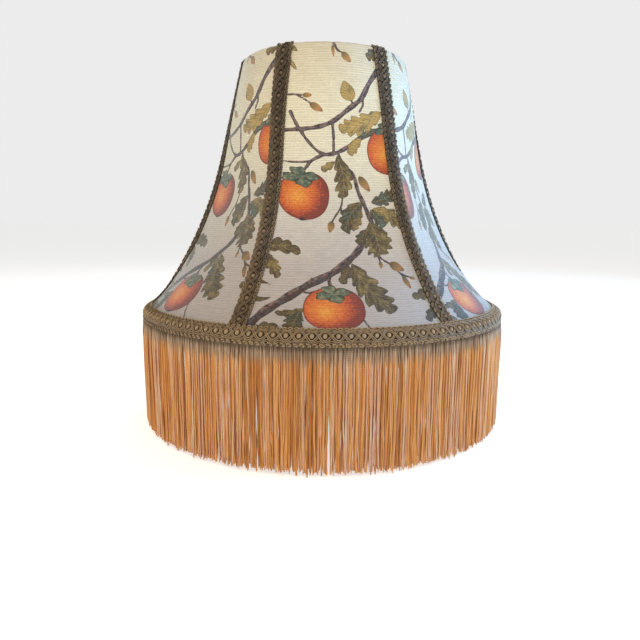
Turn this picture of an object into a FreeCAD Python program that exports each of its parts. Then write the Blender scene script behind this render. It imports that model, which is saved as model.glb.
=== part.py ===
"""Six-panel bell lamp shade with a fringed hem, hung from a recessed washer spider.

Millimetres, +Z up. The origin is the centre of the spider washer's bore. Azimuth 0 points
along -Y, where the front panel is centred, and grows towards +X.
"""
import FreeCAD, Part
import math
import os

V = FreeCAD.Vector

# ---- driving dimensions ----
SIDES = 6                      # panels, and ribs between them
BOTTOM_RADIUS = 175.5          # bottom ring, to the wire's centreline (14 in over the wire)
RING_HEIGHT = 237.0            # between the two rings' centrelines
WASHER_RECESS = 19.0           # washer below the top ring (3/4 in)
FRAME_WIRE = 4.0               # diameter of the rings and ribs
HEM_ANGLE = 54.0               # the rib's lean from upright as it leaves the bottom ring
SHOULDER_ANGLE = 33.5          # its lean above the tight flare
NECK_ANGLE = 13.5              # its lean along the straight neck
FLARE_RADIUS = 95.0            # bend of the tight flare at the hem
BELL_RADIUS = 400.0            # bend of the long bell curve
FLATNESS = 0.85                # 0 leaves a panel round between its ribs, 1 makes it flat
ROUND_AT_HEM = 8.0             # height above the bottom ring that stays round, like the ring
ROUND_AT_TOP = 9.0             # the same below the top ring
FLATTEN_FROM_HEM = 70.0        # height in which a panel goes from round to flat above the hem
FLATTEN_FROM_TOP = 120.0       # the same below the top ring

BINDING = 0.4                  # cotton tape wound on the wires
CLOTH_GAP = 0.4                # slack between a bound wire and the cloth stretched past it
COVER = 0.8                    # printed linen on its backing
LINING = 0.5                   # cotton lining
TAPE = 0.8                     # bias tape over the raw edges inside
HEADER = 1.0                   # woven head of the fringe
GIMP = 2.0                     # braid over the ribs and the hem
GIMP_WIDTH = 16.0              # braid over a rib
HEM_DROP = 5.0                 # the hem braid's lower edge below the bottom ring
HEM_GIMP_RISE = 8.0            # length of the hem braid above the ring, along the flare
HEADER_RISE = 4.0              # length of the fringe head above the ring
TAPE_REACH = 6.0               # length of the inside tapes along the lining
GIMP_TURN_IN = 7.0             # length of rib braid folded to the inside at the top

FRINGE_LENGTH = 100.0          # 4 in of loose strands
FRINGE_THICK = 2.5

ARM_COUNT = 3
ARM_WIRE = 3.2
ARM_BEND = 14.0                # radius of the bend where an arm rises to the ring
ARM_FLAT = 52.0                # distance from the axis at which the arm's level run ends
WASHER_RADIUS = 13.0
WASHER_BORE_RADIUS = 5.55      # 7/16 in hole for a 1/4-27 harp stud
WASHER_THICK = 1.6
WASHER_EDGE = 0.4
NEATENER = 0.5                 # cloth sleeve round an arm where it crosses the lining
NEATENER_LENGTH = 9.0

# ---- worked out from them ----
WIRE_R = FRAME_WIRE / 2
BOUND_R = WIRE_R + BINDING                     # outside of a bound wire
CLOTH_R = BOUND_R + CLOTH_GAP                  # near side of the cover and of the lining
COVER_OUT = CLOTH_R + COVER
LINING_IN = CLOTH_R + LINING
HEADER_OUT = COVER_OUT + HEADER
STEP_AZ = 360.0 / SIDES
HALF_AZ = STEP_AZ / 2
TOP_Z = WASHER_RECESS
BOTTOM_Z = TOP_Z - RING_HEIGHT


def polar(length, angle):
    return length * math.cos(math.radians(angle)), length * math.sin(math.radians(angle))


class Station:
    """A point of the frame's centreline, with the direction that the layers build up in."""

    def __init__(self, radius, height, angle):
        self.radius = radius
        self.height = height
        self.angle = angle

    def lifted(self, depth):
        """(radius, height) at a depth of cloth or braid from the centreline."""
        across, up = polar(depth, self.angle)
        return self.radius + across, self.height + up


def on_arc(start, bend, from_angle, to_angle, count):
    """Stations along an arc that leaves start, bending upright, from one lean to the next."""
    across, up = polar(bend, from_angle)
    centre = (start.radius + across, start.height + up)
    stations = []
    for step in range(count + 1):
        angle = from_angle + (to_angle - from_angle) * step / count
        across, up = polar(bend, angle)
        stations.append(Station(centre[0] - across, centre[1] - up, angle))
    return stations


def wrapped(station, from_angle, to_angle, count):
    """Stations that stay on one ring while the cloth turns round its wire."""
    span = to_angle - from_angle
    return [Station(station.radius, station.height, from_angle + span * step / count)
            for step in range(count + 1)]


def along(start, end, count):
    """Stations on a straight run."""
    stations = []
    for step in range(count + 1):
        part = step / count
        stations.append(Station(start.radius + (end.radius - start.radius) * part,
                                start.height + (end.height - start.height) * part,
                                start.angle))
    return stations


BOTTOM = Station(BOTTOM_RADIUS, BOTTOM_Z, HEM_ANGLE)
FLARE = on_arc(BOTTOM, FLARE_RADIUS, HEM_ANGLE, SHOULDER_ANGLE, 3)
BELL = on_arc(FLARE[-1], BELL_RADIUS, SHOULDER_ANGLE, NECK_ANGLE, 8)
TOP = Station(BELL[-1].radius - (TOP_Z - BELL[-1].height) * math.tan(math.radians(NECK_ANGLE)),
              TOP_Z, NECK_ANGLE)
NECK = along(BELL[-1], TOP, 5)
RIB_LINE = FLARE + BELL[1:] + NECK[1:]


def smooth_step(x):
    x = min(max(x, 0.0), 1.0)
    return x * x * (3 - 2 * x)


def roundness(height, off_centre):
    """How far in a panel lies, as a share of the ribs' radius, at an azimuth from its middle."""
    rise = smooth_step((height - BOTTOM_Z - ROUND_AT_HEM) / FLATTEN_FROM_HEM)
    fall = smooth_step((TOP_Z - ROUND_AT_TOP - height) / FLATTEN_FROM_TOP)
    flat = FLATNESS * rise * fall
    chord = math.cos(math.radians(HALF_AZ)) / math.cos(math.radians(off_centre))
    return 1 - flat + flat * chord


def place(radius, azimuth, height):
    angle = math.radians(azimuth)
    return V(radius * math.sin(angle), -radius * math.cos(angle), height)


def on_shade(station, depth, azimuth):
    """The point at a station, a depth of cloth and an azimuth, on the six-sided shade."""
    radius, height = station.lifted(depth)
    off_centre = (azimuth + HALF_AZ) % STEP_AZ - HALF_AZ
    return place(radius * roundness(station.height, off_centre), azimuth, height)


def spline(points):
    curve = Part.BSplineCurve()
    curve.interpolate(points)
    return curve.toShape()


def band_wire(inner_side, outer_side):
    """A closed section between two lines of points."""
    return Part.Wire([spline(outer_side),
                      Part.makeLine(outer_side[-1], inner_side[-1]),
                      spline(list(reversed(inner_side))),
                      Part.makeLine(inner_side[0], outer_side[0])])


def panel(stations, near, far):
    """The cloth panel centred on azimuth 0, between two depths, lofted from rib to rib."""
    count = 8
    wires = []
    for step in range(count + 1):
        azimuth = HALF_AZ * (2 * step / count - 1)
        wires.append(band_wire([on_shade(s, near, azimuth) for s in stations],
                               [on_shade(s, far, azimuth) for s in stations]))
    return Part.makeLoft(wires, True, False)


def section_side(stations, depth):
    """Points of a section in the plane of azimuth 0."""
    points = []
    for station in stations:
        radius, height = station.lifted(depth)
        points.append(place(radius, 0, height))
    return points


def spun(section):
    return Part.Face(section).revolve(V(0, 0, 0), V(0, 0, 1), 360)


def round_band(stations, near, far):
    """A band of cloth that goes right round the shade."""
    return spun(band_wire(section_side(stations, near), section_side(stations, far)))


def torus(station, radius):
    """A ring's solid, turned so that its seam lies clear of the ribs and arms."""
    ring = Part.makeTorus(station.radius, radius, V(0, 0, station.height), V(0, 0, 1))
    return turned(ring, HALF_AZ / 2)


def rib_tube(radius):
    """A round bar along the centreline of a rib at azimuth 0, from ring to ring."""
    flare = section_side(FLARE, 0)
    bell = section_side(BELL, 0)
    neck = section_side(NECK, 0)
    path = Part.Wire([Part.Arc(flare[0], flare[1], flare[-1]).toShape(),
                      Part.Arc(bell[0], bell[4], bell[-1]).toShape(),
                      Part.makeLine(neck[0], neck[-1])])
    across, up = polar(1.0, HEM_ANGLE + 90)
    section = Part.Wire(Part.makeCircle(radius, flare[0], place(across, 0, up)))
    return path.makePipeShell([section], True, True)


def arm_tube(radius):
    """A round bar along a spider arm at azimuth 0: level from the axis, then up to the top ring."""
    rise_angle = math.degrees(math.atan2(TOP_Z, TOP.radius - ARM_FLAT))
    corner_trim = ARM_BEND * math.tan(math.radians(rise_angle / 2))
    across, up = polar(corner_trim, rise_angle)
    half_across, half_up = polar(ARM_BEND, rise_angle / 2 - 90)
    start = place(0, 0, 0)
    level_end = place(ARM_FLAT - corner_trim, 0, 0)
    bend_mid = place(ARM_FLAT - corner_trim + half_across, 0, ARM_BEND + half_up)
    bend_end = place(ARM_FLAT + across, 0, up)
    path = Part.Wire([Part.makeLine(start, level_end),
                      Part.Arc(level_end, bend_mid, bend_end).toShape(),
                      Part.makeLine(bend_end, place(TOP.radius, 0, TOP_Z))])
    section = Part.Wire(Part.makeCircle(radius, start, place(1, 0, 0)))
    return path.makePipeShell([section], True, True)


def facing_in(station):
    return Station(station.radius, station.height, station.angle + 180)


def flare_from_hem(rise, count):
    """Stations from the bottom ring, a length up the flare."""
    leaned = HEM_ANGLE - math.degrees(rise / FLARE_RADIUS)
    return on_arc(BOTTOM, FLARE_RADIUS, HEM_ANGLE, leaned, count)


def hem_line(rise):
    """Stations from the hem's lower edge, past the bottom ring and a length up the flare."""
    at_ring = Station(BOTTOM.radius, BOTTOM.height, 0)
    below = Station(BOTTOM.radius, BOTTOM.height - HEM_DROP, 0)
    return (along(below, at_ring, 2) + wrapped(BOTTOM, 0, HEM_ANGLE, 3)[1:]
            + flare_from_hem(rise, 4)[1:])


def inside_below_top(length):
    """The station a length down the neck from the top ring, facing inwards."""
    across, up = polar(length, NECK_ANGLE - 90)
    return Station(TOP.radius + across, TOP.height + up, NECK_ANGLE + 180)


def turned(shape, azimuth):
    copy = shape.copy()
    copy.rotate(V(0, 0, 0), V(0, 0, 1), azimuth)
    return copy


def numbered(name, shape, azimuths):
    """Copies of a piece made at azimuth 0, turned to each azimuth in order."""
    return {f"{name}_{number}": turned(shape, azimuth) for number, azimuth in enumerate(azimuths, 1)}


# ---- pieces ----
def make_frame():
    """Rings, ribs and the spider, welded where they meet."""
    rings = [torus(TOP, WIRE_R), torus(BOTTOM, WIRE_R)]
    blank = Part.makeCylinder(WASHER_RADIUS, WASHER_THICK, V(0, 0, -WASHER_THICK / 2))
    rims = [edge for edge in blank.Edges if isinstance(edge.Curve, Part.Circle)]
    bore = Part.makeCylinder(WASHER_BORE_RADIUS, 2 * WASHER_THICK, V(0, 0, -WASHER_THICK))
    inside_washer = Part.makeCylinder(WASHER_RADIUS, 2 * ARM_WIRE, V(0, 0, -ARM_WIRE))
    arm = arm_tube(ARM_WIRE / 2).cut([rings[0], inside_washer])
    nodes = {
        "top_ring": rings[0],
        "bottom_ring": rings[1],
        "spider_washer": blank.makeFillet(WASHER_EDGE, rims).cut(bore),
    }
    nodes.update(numbered("rib", rib_tube(WIRE_R).cut(rings), RIB_AZIMUTHS))
    nodes.update(numbered("spider_arm", arm, ARM_AZIMUTHS))
    return nodes


def make_bindings():
    """Cotton tape wound on the rings and ribs, which the cloth is sewn to."""
    ribs = [turned(rib_tube(WIRE_R), azimuth) for azimuth in RIB_AZIMUTHS]
    arms = [turned(arm_tube(ARM_WIRE / 2), azimuth) for azimuth in ARM_AZIMUTHS]
    bound_rings = [torus(TOP, BOUND_R), torus(BOTTOM, BOUND_R)]
    sleeve = rib_tube(BOUND_R).cut([rib_tube(WIRE_R)] + bound_rings)
    nodes = {
        "top_ring_binding": bound_rings[0].cut([torus(TOP, WIRE_R)] + ribs + arms),
        "bottom_ring_binding": bound_rings[1].cut([torus(BOTTOM, WIRE_R)] + ribs),
    }
    nodes.update(numbered("rib_binding", sleeve, RIB_AZIMUTHS))
    return nodes


def make_panels():
    """Printed cover outside the ribs and plain lining inside them, one of each to a side."""
    cover_line = (wrapped(BOTTOM, -90, HEM_ANGLE, 6)[:-1] + RIB_LINE
                  + wrapped(TOP, NECK_ANGLE, 90, 3)[1:])
    inside = [facing_in(station) for station in RIB_LINE]
    lining_line = (wrapped(BOTTOM, 270, HEM_ANGLE + 180, 2)[:-1] + inside
                   + wrapped(TOP, NECK_ANGLE + 180, 90, 3)[1:])
    lining = panel(lining_line, CLOTH_R, LINING_IN)
    slit_lining = lining.cut(arm_tube(ARM_WIRE / 2))
    nodes = numbered("cover_panel", panel(cover_line, CLOTH_R, COVER_OUT), PANEL_AZIMUTHS)
    for number, azimuth in enumerate(PANEL_AZIMUTHS, 1):
        meets_arm = azimuth in ARM_AZIMUTHS
        nodes[f"lining_panel_{number}"] = turned(slit_lining if meets_arm else lining, azimuth)
    return nodes


def make_rib_gimp():
    """Braid over one rib, from the hem braid up and over the top ring."""
    hem_top = hem_line(HEM_GIMP_RISE)[-1]
    outside = [hem_top] + [s for s in RIB_LINE if s.height > hem_top.height + 2]
    over = wrapped(TOP, NECK_ANGLE, NECK_ANGLE + 180, 6)[1:]
    turned_in = along(over[-1], inside_below_top(GIMP_TURN_IN), 2)[1:]
    sections = []
    for station in outside + over + turned_in:
        tape = TAPE if station.angle > 90 else 0
        corners = []
        for depth, sides in ((COVER_OUT + tape, (-1, 0, 1)), (COVER_OUT + tape + GIMP, (1, 0, -1))):
            half_turn = math.degrees(GIMP_WIDTH / 2 / station.lifted(depth)[0])
            # The rib stands at azimuth HALF_AZ of the panel that is centred on 0.
            corners += [on_shade(station, depth, HALF_AZ + side * half_turn) for side in sides]
        # The corners slide along the rib into one plane square to it.
        across, up = polar(1.0, station.angle + 90)
        heading = place(across, HALF_AZ, up)
        middle = corners[1]
        corners = [corner - heading * (corner - middle).dot(heading) for corner in corners]
        sections.append(Part.makePolygon(corners + corners[:1]))
    return turned(Part.makeLoft(sections, True, True), -HALF_AZ)


def make_hem():
    """Fringe head and strands, the braid over the head, and the tape over the raw edges."""
    strand_z = BOTTOM_Z - HEM_DROP - FRINGE_LENGTH
    strand_mid = BOTTOM_RADIUS + (COVER_OUT + HEADER_OUT) / 2
    outer = Part.makeCylinder(strand_mid + FRINGE_THICK / 2, FRINGE_LENGTH, V(0, 0, strand_z))
    inner = Part.makeCylinder(strand_mid - FRINGE_THICK / 2, FRINGE_LENGTH, V(0, 0, strand_z))
    over_head = section_side(hem_line(HEADER_RISE), HEADER_OUT)
    above_head = section_side(hem_line(HEM_GIMP_RISE)[-3:], COVER_OUT)
    top_side = section_side(hem_line(HEM_GIMP_RISE), HEADER_OUT + GIMP)
    gimp_section = Part.Wire([spline(over_head), Part.makeLine(over_head[-1], above_head[0]),
                              spline(above_head), Part.makeLine(above_head[-1], top_side[-1]),
                              spline(list(reversed(top_side))),
                              Part.makeLine(top_side[0], over_head[0])])
    hem_inside = [facing_in(station) for station in flare_from_hem(TAPE_REACH, 2)]
    tape_line = wrapped(BOTTOM, 270, HEM_ANGLE + 180, 2)[:-1] + hem_inside
    return {
        "fringe_header": round_band(hem_line(HEADER_RISE), COVER_OUT, HEADER_OUT),
        "fringe_skirt": outer.cut(inner),
        "hem_gimp": spun(gimp_section),
        "inner_hem_tape": round_band(tape_line, LINING_IN, LINING_IN + TAPE),
    }


def make_top():
    """The tape inside the top ring, and a cloth sleeve where each arm crosses the lining."""
    tape_line = (wrapped(TOP, 90, NECK_ANGLE + 180, 4)
                 + along(facing_in(TOP), inside_below_top(TAPE_REACH), 2)[1:])
    arms = [turned(arm_tube(ARM_WIRE / 2), azimuth) for azimuth in ARM_AZIMUTHS]
    tape_in = TOP.radius - LINING_IN - TAPE
    base = V(0, 0, -TOP_Z)
    keep = Part.makeCylinder(tape_in, 3 * TOP_Z, base)
    keep = keep.cut(Part.makeCylinder(tape_in - NEATENER_LENGTH, 3 * TOP_Z, base))
    sleeve = arm_tube(ARM_WIRE / 2 + NEATENER).cut(arm_tube(ARM_WIRE / 2)).common(keep)
    nodes = {"inner_top_tape": round_band(tape_line, LINING_IN, LINING_IN + TAPE).cut(arms)}
    nodes.update(numbered("arm_neatener", sleeve, ARM_AZIMUTHS))
    return nodes


PANEL_AZIMUTHS = [STEP_AZ * side for side in range(SIDES)]
RIB_AZIMUTHS = [azimuth + HALF_AZ for azimuth in PANEL_AZIMUTHS]
ARM_AZIMUTHS = [360.0 / ARM_COUNT * arm for arm in range(ARM_COUNT)]

nodes = make_frame()
nodes.update(make_bindings())
nodes.update(make_panels())
nodes.update(numbered("rib_gimp", make_rib_gimp(), RIB_AZIMUTHS))
nodes.update(make_hem())
nodes.update(make_top())

os.makedirs("parts", exist_ok=True)
for name, shape in nodes.items():
    solids = shape.Solids
    (solids[0] if len(solids) == 1 else shape).exportStep(f"parts/{name}.step")
    print(f"{name:22s} solids {len(solids)} valid {shape.isValid()} volume {shape.Volume:10.1f}")
print("top ring radius", round(TOP.radius, 2))
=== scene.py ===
import bpy
import math
import numpy as np
from mathutils import Matrix, Vector


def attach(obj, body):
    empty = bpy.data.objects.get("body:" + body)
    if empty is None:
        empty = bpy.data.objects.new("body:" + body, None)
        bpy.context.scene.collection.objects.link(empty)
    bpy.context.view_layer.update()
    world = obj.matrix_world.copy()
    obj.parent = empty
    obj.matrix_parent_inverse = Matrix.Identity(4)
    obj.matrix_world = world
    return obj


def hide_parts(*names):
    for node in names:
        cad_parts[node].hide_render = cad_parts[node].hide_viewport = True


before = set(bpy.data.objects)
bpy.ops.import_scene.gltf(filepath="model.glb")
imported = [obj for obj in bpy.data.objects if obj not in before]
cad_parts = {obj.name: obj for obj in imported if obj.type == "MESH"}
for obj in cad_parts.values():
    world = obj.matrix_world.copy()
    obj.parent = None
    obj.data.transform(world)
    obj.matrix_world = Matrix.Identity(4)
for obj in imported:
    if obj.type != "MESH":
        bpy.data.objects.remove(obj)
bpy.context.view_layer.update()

# Lengths are in millimetres up to the moment a mesh is made, and angles in degrees.
# Azimuth 0 points along -Y, where the front panel is centred, and grows towards +X.
MM = 0.001
rng = np.random.default_rng(6)

# ---- the frame's sizes, as in the CAD ----
SIDES = 6
BOTTOM_RADIUS = 175.5
TOP_Z = 19.0
BOTTOM_Z = -218.0
HEM_ANGLE = 54.0                # of the section's normal above level, at the hem
SHOULDER_ANGLE = 33.5           # where the flare meets the bell
NECK_ANGLE = 13.5               # where the bell meets the straight neck
FLARE_RADIUS = 95.0
BELL_RADIUS = 400.0
FLATNESS = 0.85                 # 1 for flat panels, 0 for a round shade
ROUND_AT_HEM = 8.0
ROUND_AT_TOP = 9.0
FLATTEN_FROM_HEM = 70.0
FLATTEN_FROM_TOP = 120.0
WIRE_R = 2.0
BOUND_R = 2.4                   # wire with its binding
CLOTH_R = 2.8                   # from the wire's middle to the near face of both cloths
COVER_OUT = 3.6
LINING_IN = 3.3
TAPE_IN = 4.1
HEADER_OUT = 4.6
HEM_DROP = 5.0
HEM_RISE = 8.0
HEADER_RISE = 4.0
TAPE_REACH = 6.0
FRINGE_LENGTH = 100.0
ARM_R = 1.6
ARM_BEND = 14.0
ARM_FLAT = 52.0
STEP_AZ = 360 / SIDES
HALF_AZ = STEP_AZ / 2
PANEL_AZIMUTHS = [STEP_AZ * side for side in range(SIDES)]
RIB_AZIMUTHS = [azimuth + HALF_AZ for azimuth in PANEL_AZIMUTHS]
ARM_AZIMUTHS = [0.0, 120.0, 240.0]


# ---- lines that cloth and braid follow ----
def cos(angle):
    return np.cos(np.radians(angle))


def sin(angle):
    return np.sin(np.radians(angle))


def around(radius, azimuth, height):
    """Points at radii, azimuths and heights."""
    return np.stack(np.broadcast_arrays(radius * sin(azimuth), -radius * cos(azimuth), height),
                    axis=-1)


class Line:
    """Stations of the frame's section: radius and height of the wire's middle, and the direction
    that the layers build up in. run is the length along the line at a given depth of layers."""

    def __init__(self, stations, depth=0.0, zero_at=0):
        self.radius, self.height, self.angle = np.array(stations, float).T
        across = self.radius + depth * cos(self.angle)
        up = self.height + depth * sin(self.angle)
        steps = np.hypot(np.diff(across), np.diff(up))
        self.run = np.concatenate([[0], np.cumsum(steps)])
        self.run -= self.run[zero_at]

    def radius_at(self, run, depth):
        angle = np.interp(run, self.run, self.angle)
        return np.interp(run, self.run, self.radius) + depth * cos(angle)

    def lay(self, run, depth, azimuth):
        """Points at lengths along the line, depths of layers and azimuths, on the six-sided shade."""
        run, depth, azimuth = np.broadcast_arrays(run, depth, azimuth)
        angle = np.interp(run, self.run, self.angle)
        height = np.interp(run, self.run, self.height)
        off_centre = (azimuth + HALF_AZ) % STEP_AZ - HALF_AZ
        radius = self.radius_at(run, depth) * roundness(height, off_centre)
        return around(radius, azimuth, height + depth * sin(angle))


def smooth_step(x):
    x = np.clip(x, 0, 1)
    return x * x * (3 - 2 * x)


def roundness(height, off_centre):
    """How far in a panel lies, as a share of the ribs' radius, at an azimuth from its middle."""
    rise = smooth_step((height - BOTTOM_Z - ROUND_AT_HEM) / FLATTEN_FROM_HEM)
    fall = smooth_step((TOP_Z - ROUND_AT_TOP - height) / FLATTEN_FROM_TOP)
    flat = FLATNESS * rise * fall
    return 1 - flat + flat * cos(HALF_AZ) / cos(off_centre)


def on_arc(start, bend, to_angle, count):
    """Stations along an arc that leaves start, bending upright."""
    radius, height, angle = start
    return [(radius + bend * (cos(angle) - cos(a)), height + bend * (sin(angle) - sin(a)), a)
            for a in np.linspace(angle, to_angle, count + 1)]


def wrapped(station, from_angle, to_angle, count):
    """Stations that stay on one ring while the cloth turns round its wire."""
    return [(station[0], station[1], a) for a in np.linspace(from_angle, to_angle, count + 1)]


def straight(start, end, count):
    """Stations on a straight run, all with the start's direction."""
    return [(start[0] + (end[0] - start[0]) * t, start[1] + (end[1] - start[1]) * t, start[2])
            for t in np.linspace(0, 1, count + 1)]


def facing_in(stations):
    return [(radius, height, angle + 180) for radius, height, angle in stations]


BOTTOM = (BOTTOM_RADIUS, BOTTOM_Z, HEM_ANGLE)
FLARE = on_arc(BOTTOM, FLARE_RADIUS, SHOULDER_ANGLE, 24)
BELL = on_arc(FLARE[-1], BELL_RADIUS, NECK_ANGLE, 60)
NECK_RISE = TOP_Z - BELL[-1][1]
TOP = (BELL[-1][0] - NECK_RISE * math.tan(math.radians(NECK_ANGLE)), TOP_Z, NECK_ANGLE)
NECK = straight(BELL[-1], TOP, 30)
RIB = FLARE + BELL[1:] + NECK[1:]
RIB_RUN = Line(RIB).run[-1]
INSIDE_RING = wrapped(BOTTOM, 270, HEM_ANGLE + 180, 5)[:-1]


def below_top(length, count):
    """Stations from the top ring a length down the neck, facing inwards."""
    angle = NECK_ANGLE - 90
    end = (TOP[0] + length * cos(angle), TOP[1] + length * sin(angle))
    return straight((TOP[0], TOP[1], NECK_ANGLE + 180), end, count)


def up_flare(length, count):
    """Stations from the bottom ring a length up the flare."""
    return on_arc(BOTTOM, FLARE_RADIUS, HEM_ANGLE - math.degrees(length / FLARE_RADIUS), count)


def hem_stations(rise):
    """Stations from the hem's lower edge, past the bottom ring and a length up the flare."""
    low = (BOTTOM[0], BOTTOM[1] - HEM_DROP, 0.0)
    at_ring = (BOTTOM[0], BOTTOM[1], 0.0)
    return (straight(low, at_ring, 6) + wrapped(BOTTOM, 0, HEM_ANGLE, 12)[1:]
            + up_flare(rise, 10)[1:])


# ---- meshes ----
def grid_faces(rows, columns, loop=False):
    """Quads of a grid of points; loop joins the last column to the first."""
    row, column = np.meshgrid(np.arange(rows - 1), np.arange(columns if loop else columns - 1),
                              indexing="ij")
    here = row * columns + column
    beside = row * columns + (column + 1) % columns
    return np.stack([here, beside, beside + columns, here + columns], axis=-1).reshape(-1, 4)


def edge_faces(edge, count):
    """Quads between an open row of points and the same row, count points on."""
    far = edge + count
    return np.stack([edge[1:], edge[:-1], far[:-1], far[1:]], axis=-1)


def slab_faces(rows, columns, loop=False, flip=False):
    """Faces of a thin closed slab between two grids of points, first all of the outer one."""
    count = rows * columns
    number = np.arange(count).reshape(rows, columns)
    skin = grid_faces(rows, columns, loop)
    faces = [skin, skin[:, ::-1] + count]
    if loop:
        first = np.append(number[0], number[0, 0])
        last = np.append(number[-1], number[-1, 0])
        faces += [edge_faces(first, count), edge_faces(last, count)[:, ::-1]]
    else:
        rim = np.concatenate([number[0], number[1:, -1], number[-1, -2::-1], number[-2::-1, 0]])
        faces.append(edge_faces(rim, count))
    return [face[:, ::-1] for face in faces] if flip else faces


def make(name, points, faces, surface, nodes, attributes):
    """A smooth mesh piece that rides on the shade and stands for CAD nodes."""
    mesh = bpy.data.meshes.new(name)
    points = points.reshape(-1, 3)
    mesh.vertices.add(len(points))
    mesh.vertices.foreach_set("co", (points * MM).astype(np.float32).ravel())
    corners = np.concatenate([part.ravel() for part in faces])
    sizes = np.concatenate([np.full(len(part), part.shape[1]) for part in faces])
    starts = np.concatenate([[0], np.cumsum(sizes)[:-1]])
    mesh.loops.add(len(corners))
    mesh.loops.foreach_set("vertex_index", corners.astype(np.int32))
    mesh.polygons.add(len(sizes))
    mesh.polygons.foreach_set("loop_start", starts.astype(np.int32))
    mesh.update(calc_edges=True)
    mesh.validate()
    for key, values in attributes.items():
        kind = "FLOAT_VECTOR" if values.shape[-1] == 3 else "FLOAT"
        layer = mesh.attributes.new(key, kind, "POINT")
        layer.data.foreach_set("vector" if kind == "FLOAT_VECTOR" else "value",
                               values.astype(np.float32).ravel())
    mesh.shade_smooth()
    mesh.materials.append(surface)
    piece = bpy.data.objects.new(name, mesh)
    bpy.context.scene.collection.objects.link(piece)
    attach(piece, "root")
    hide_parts(*nodes)
    return piece


def sheet_piece(name, outer, inner, surface, nodes, attributes, loop=False, flip=False):
    """A closed thin sheet between two grids of points, the outer one facing out."""
    points = np.concatenate([outer.reshape(-1, 3), inner.reshape(-1, 3)])
    both = {key: np.concatenate([values, values]) for key, values in attributes.items()}
    return make(name, points, slab_faces(*outer.shape[:2], loop, flip), surface, nodes, both)


def unit(vectors):
    return vectors / np.maximum(np.linalg.norm(vectors, axis=-1, keepdims=True), 1e-9)


def upright_frames(paths, outward, closed):
    """The directions aside and up at each point of paths, whose upper side is outward."""
    if closed:
        forward = unit(np.roll(paths, -1, axis=-2) - np.roll(paths, 1, axis=-2))
    else:
        forward = unit(np.gradient(paths, axis=-2))
    aside = unit(np.cross(forward, outward))
    return aside, np.cross(aside, forward)


def tube_faces(steps, sides, closed):
    """Quads round one tube, whose end is joined to its start if closed."""
    quads = grid_faces(steps, sides, True)[:, ::-1]
    if closed:
        first = np.arange(sides)
        last = first + (steps - 1) * sides
        join = np.stack([first, np.roll(first, -1), np.roll(last, -1), last], axis=-1)
        quads = np.concatenate([quads, join])
    return quads


def length_along(path):
    """The length along a path up to each of its points."""
    steps = np.linalg.norm(np.diff(path, axis=-2), axis=-1)
    return np.concatenate([np.zeros((*steps.shape[:-1], 1)), np.cumsum(steps, axis=-1)], axis=-1)


def tubes(paths, outward, radius, sides, tone, closed=False, underside_shade=0.0):
    """Cords along paths (cord, step, xyz), with outward giving their upper side. Returns points,
    faces and the yarn attribute: length along the cord, how far to one side, and its tone, which
    falls by underside_shade from the cord's top to its underside, as painted shade."""
    cords, steps = paths.shape[:2]
    aside, up = upright_frames(paths, outward, closed)
    turn = np.arange(sides) * 360 / sides
    radius = np.broadcast_to(np.asarray(radius, float), (cords, steps))[..., None, None]
    points = paths[:, :, None] + radius * (cos(turn)[:, None] * up[:, :, None]
                                           + sin(turn)[:, None] * aside[:, :, None])
    starts = np.arange(cords)[:, None, None] * steps * sides
    faces = [(tube_faces(steps, sides, closed) + starts).reshape(-1, 4)]
    if not closed:
        cap = np.arange(sides)
        faces += [cap + starts[:, 0], cap[::-1] + (steps - 1) * sides + starts[:, 0]]
    # painted shade: the tone darkens towards each cord's underside
    tone = np.asarray(tone, float).reshape(-1, 1, 1) - underside_shade * (1 - cos(turn)) / 2
    shape = (cords, steps, sides)
    yarn = [np.broadcast_to(part, shape) for part in (length_along(paths)[..., None], sin(turn), tone)]
    return points.reshape(-1, 3), faces, np.stack(yarn, axis=-1).reshape(-1, 3)


def joined(parts):
    """One set of points, faces and yarn from several."""
    points, faces, yarn, offset = [], [], [], 0
    for part_points, part_faces, part_yarn in parts:
        points.append(part_points)
        faces += [face + offset for face in part_faces]
        yarn.append(part_yarn)
        offset += len(part_points)
    return np.concatenate(points), faces, np.concatenate(yarn)


# ---- materials ----
# Outputs of the Texture Coordinate node: the direction, in a world, and the place on an object.
GENERATED_OUTPUT = 0
OBJECT_OUTPUT = 3


class Value:
    """What a node passes on, which can take part in sums."""

    def __init__(self, nodes, socket):
        self.nodes = nodes
        self.socket = socket

    def __add__(self, other):
        return self.nodes.math("ADD", self, other)

    def __sub__(self, other):
        return self.nodes.math("SUBTRACT", self, other)

    def __mul__(self, other):
        return self.nodes.math("MULTIPLY", self, other)

    def __pow__(self, other):
        return self.nodes.math("POWER", self, other)

    def __abs__(self):
        return self.nodes.math("ABSOLUTE", self)


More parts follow.
